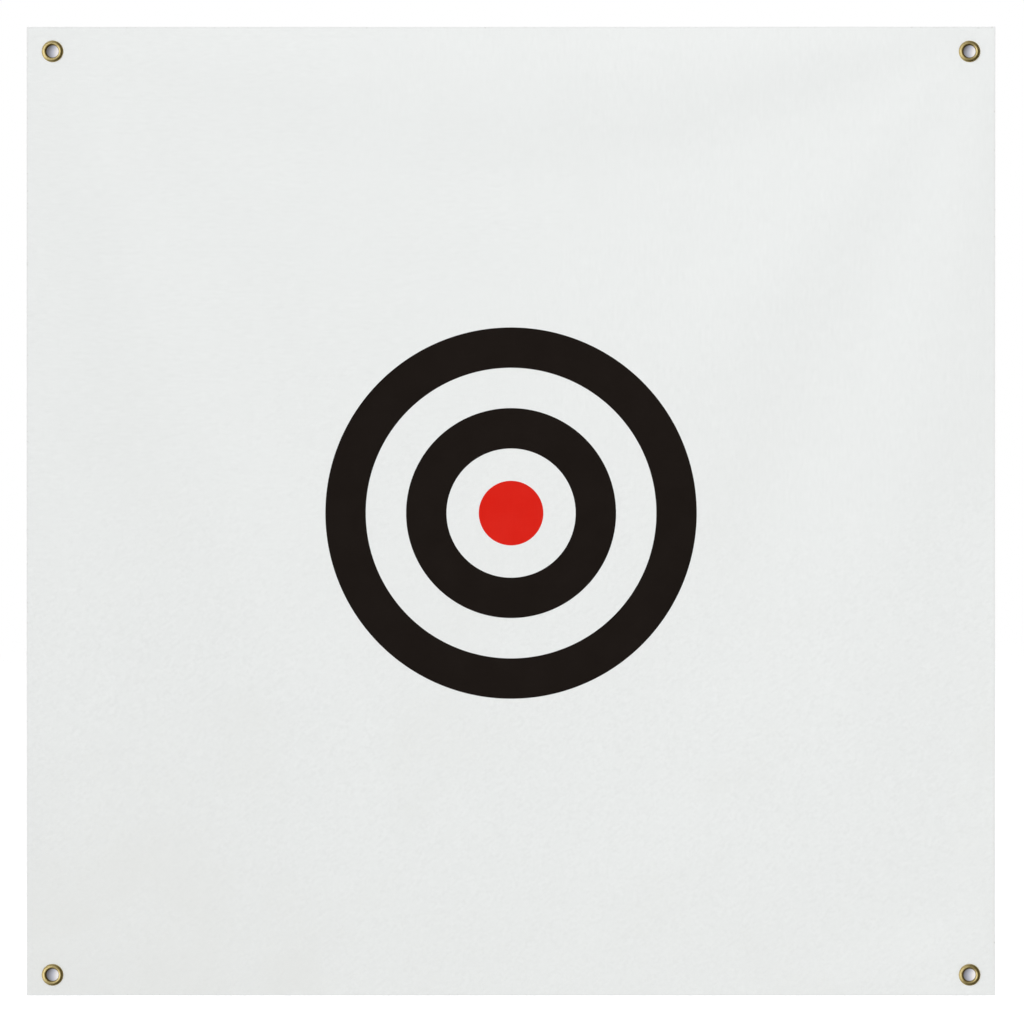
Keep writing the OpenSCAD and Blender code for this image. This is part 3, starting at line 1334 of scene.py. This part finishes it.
@dataclass
class Studio:
    """Pale floor, soft light, a glowing card with painted shade seen in the bores, and the camera."""

    level: float = 0.570
    from_left: float = 0.25
    from_above: float = 0.06
    mirrored: tuple[tuple[float, Colour], ...] = (
        (0.0, (1.14, 1.15, 1.17)),
        (0.16, (1.92, 1.94, 1.96)),
        (0.32, (1.15, 1.16, 1.17)),
        (0.42, (0.93, 0.93, 0.90)),
        (0.5, (0.480, 0.462, 0.392)),
        (0.66, (0.155, 0.134, 0.074)),
        (0.82, (0.086, 0.070, 0.028)),
        (1.0, (0.074, 0.059, 0.020)),
    )
    mirrored_lean: float = -0.30
    mirrored_dimming: float = -1.35
    mirrored_least: float = 0.34
    sun_place: Place = (-3.0, -3.0, 2.6)
    sun_energy: float = 0.90
    sun_angle: float = math.radians(24)
    fill_place: Place = (0.6, -3.6, 3.0)
    fill_energy: float = 36.0
    fill_size: float = 1.8
    floor_z: float = -1.15
    floor_size: float = 60.0
    floor_fade: Span = (14.0, 29.0)
    floor_colour: Colour = (0.86, 0.86, 0.86)
    floor_glow: float = 0.269
    backing_r: float = 17.0 * MM
    backing_y: float = 6.0 * MM
    backing_points: int = 48
    backing_bend: float = -41.0
    backing_lean: float = -0.2
    # painted shadow and light of the card behind each bore: dark on the left, light on the right
    backing_painted_shadow: Colour = (0.15, 0.145, 0.155)
    backing_painted_half_shade: Colour = (0.500, 0.510, 0.572)
    backing_painted_light: Colour = (0.86, 0.83, 0.82)
    backing_spans: tuple[Span, Span] = ((-8.5 * MM, 0.0), (0.0, 6.5 * MM))
    view_width: float = 1.5858
    view_x: float = 1.45 * MM
    view_z: float = 1.7 * MM
    lens: float = 135.0
    sensor: float = 36.0

    def world(self) -> None:
        """Lights the scene from all round, a little more from the left and from above."""
        world = bpy.data.worlds.new("studio")
        bpy.context.scene.world = world
        w = Wiring.of(world)
        x, _, z = w.axes(w.add("TexCoord").outputs["Generated"])
        left = w.line(x, -self.from_left * self.level, self.level)
        soft = w.line(z, self.from_above * self.level, left)
        ramp = w.add("ValToRGB", {0: w.line(w.line(z, self.mirrored_lean, x), 0.5, 0.5)})
        while len(ramp.color_ramp.elements) < len(self.mirrored):
            ramp.color_ramp.elements.new(0.5)
        for element, (position, colour) in zip(ramp.color_ramp.elements, self.mirrored, strict=True):
            element.position, element.color = position, (*colour, 1.0)
        dimmed = w.math("MAXIMUM", w.line(w.times(z, z), self.mirrored_dimming, 1.0), self.mirrored_least)
        lit, mirrored, seen = (
            w.add("Background", {"Color": colour, "Strength": strength}).outputs[0]
            for colour, strength in ((WHITE, soft), (ramp.outputs[0], dimmed), (WHITE, 1.0))
        )
        path = w.add("LightPath").outputs
        direct = w.math("MAXIMUM", path["Is Camera Ray"], path["Is Transmission Ray"])
        mixed = w.add("MixShader", {0: path["Is Glossy Ray"], 1: lit, 2: mirrored}).outputs[0]
        mixed = w.add("MixShader", {0: direct, 1: mixed, 2: seen}).outputs[0]
        w.add("OutputWorld", {"Surface": mixed})

    def lamps(self) -> None:
        """Adds a soft sun high on the left, a fill lamp high in front, and their twins behind."""
        for side, turn in (("front", 1), ("rear", -1)):
            x, y, z = self.sun_place
            sun = self._lamp(f"sun_{side}", "SUN", Vector((x * turn, y * turn, z)), self.sun_energy)
            sun.data.angle = self.sun_angle
            x, y, z = self.fill_place
            fill = self._lamp(f"fill_{side}", "AREA", Vector((x, y * turn, z)), self.fill_energy)
            fill.data.size = self.fill_size

    def _lamp(self, name: str, kind: str, place: Vector, energy: float) -> Piece:
        """Adds one lamp that points at the origin and that metal doesn't mirror.

        Args:
            name: The lamp's name.
            kind: The light's type.
            place: Where it hangs.
            energy: Its strength.

        Returns:
            The lamp.
        """
        Bench.clear()
        bpy.ops.object.light_add(type=kind, location=place)
        lamp = bpy.context.active_object
        lamp.name = name
        lamp.data.energy = energy
        lamp.rotation_euler = (-place).to_track_quat("-Z", "Y").to_euler()
        lamp.visible_glossy = False
        return lamp

    def _floor_material(self) -> Material:
        """Builds a floor's material, seen only from above and faded into white far off.

        Returns:
            The material.
        """
        material = bpy.data.materials.new("stage_floor")
        w = Wiring.of(material)
        base = w.add("BsdfDiffuse", {"Color": (*self.floor_colour, 1.0)}).outputs[0]
        shine = w.times(w.add("LightPath").outputs["Is Camera Ray"], self.floor_glow)
        glowing = w.add("Emission", {"Color": WHITE, "Strength": shine}).outputs[0]
        shown = w.add("AddShader", {0: base, 1: glowing}).outputs[0]
        below = w.add("NewGeometry").outputs["Backfacing"]
        faded = w.span(w.distance(w.place()), *self.floor_fade)
        w.end_one_sided(shown, w.math("MAXIMUM", below, faded))
        return material

    def floor(self) -> None:
        """Lays the pale floor a little below the cloth."""
        Bench.clear()
        bpy.ops.mesh.primitive_plane_add(size=self.floor_size, location=(0, 0, self.floor_z))
        floor = Bench.start("stage_floor")
        floor.data.materials.append(self._floor_material())
        floor.visible_glossy = False

    def _backing_material(self) -> Material:
        """Builds the glowing card behind each bore, its shade painted in: dark on the left, nearly white
        on the right.

        Returns:
            The material.
        """
        material = bpy.data.materials.new("stage_painted_shade_card")
        w = Wiring.of(material)
        x, _, z = w.axes(w.place())
        across, up = (
            w.math("SUBTRACT", axis, w.times(w.math("SIGN", axis), middle))
            for axis, middle in ((x, EYELET_X), (z, EYELET_Z))
        )
        bent = w.line(w.times(up, up), self.backing_bend, across)
        right = w.line(up, self.backing_lean, bent)
        dark, bright = (
            w.add("MapRange", {"Value": right, 1: low, 2: high}).outputs[0]
            for low, high in self.backing_spans
        )
        colour = w.blend(dark, self.backing_painted_shadow, self.backing_painted_half_shade)
        colour = w.blend(bright, colour, self.backing_painted_light)
        # the card glows with its painted shade; no lamp lights it
        card = w.add("Emission", {"Color": colour, "Strength": 1.0}).outputs[0]
        w.end_one_sided(card, w.add("NewGeometry").outputs["Backfacing"])
        return material

    def painted_shade_cards(self) -> None:
        """Stands a small glowing disc behind each bore, with shade painted in its colour."""
        material = self._backing_material()
        for number, corner in enumerate(Corner, 1):
            Bench.clear()
            behind = corner.centre + Vector((0, self.backing_y, 0))
            Bench.circle(behind, self.backing_r, self.backing_points, "NGON")
            disc = Bench.start(f"stage_painted_shade_card_{number}")
            disc.data.materials.append(material)
            disc.visible_diffuse = disc.visible_glossy = disc.visible_shadow = False

    def camera(self) -> None:
        """Sets a long lens square on to the cloth, as far away as its width asks for."""
        Bench.clear()
        away = self.view_width * self.lens / self.sensor
        bpy.ops.object.camera_add(location=(self.view_x, -away, self.view_z), rotation=(QUARTER, 0, 0))
        camera = bpy.context.active_object
        camera.name = "camera"
        camera.data.lens = self.lens
        camera.data.sensor_width = self.sensor
        bpy.context.scene.camera = camera

    def build(self) -> None:
        """Sets up everything that isn't part of the object."""
        bpy.context.scene.view_settings.view_transform = "Standard"
        self.world()
        self.lamps()
        self.floor()
        self.painted_shade_cards()
        self.camera()
        LOG.info("studio: floor at %.2f m, lens %.0f mm", self.floor_z, self.lens)


GHOST_OF_BLACK = (0.735, 0.748, 0.742)
GHOST_OF_RED = (0.800, 0.772, 0.762)
PRINTS = (
    Disc("outer_ring_print", Slot.INK_BLACK, 0.575, 0.450, GHOST_OF_BLACK),
    Disc("inner_ring_print", Slot.INK_BLACK, 0.325, 0.200, GHOST_OF_BLACK),
    Disc("bullseye_print", Slot.INK_RED, 0.100, 0.0, GHOST_OF_RED),
)


def main() -> None:
    """Builds the cloth, its print, its eyelets and the stage."""
    logging.basicConfig(level=logging.INFO, format="%(message)s")
    effects = Effects()
    ClinchedEyelets(effects).build()
    cloth = TargetCloth(effects, PRINTS).build()
    PrintedBullseye(effects, PRINTS).build(cloth)
    Studio().build()


if __name__ == "__main__":
    main()
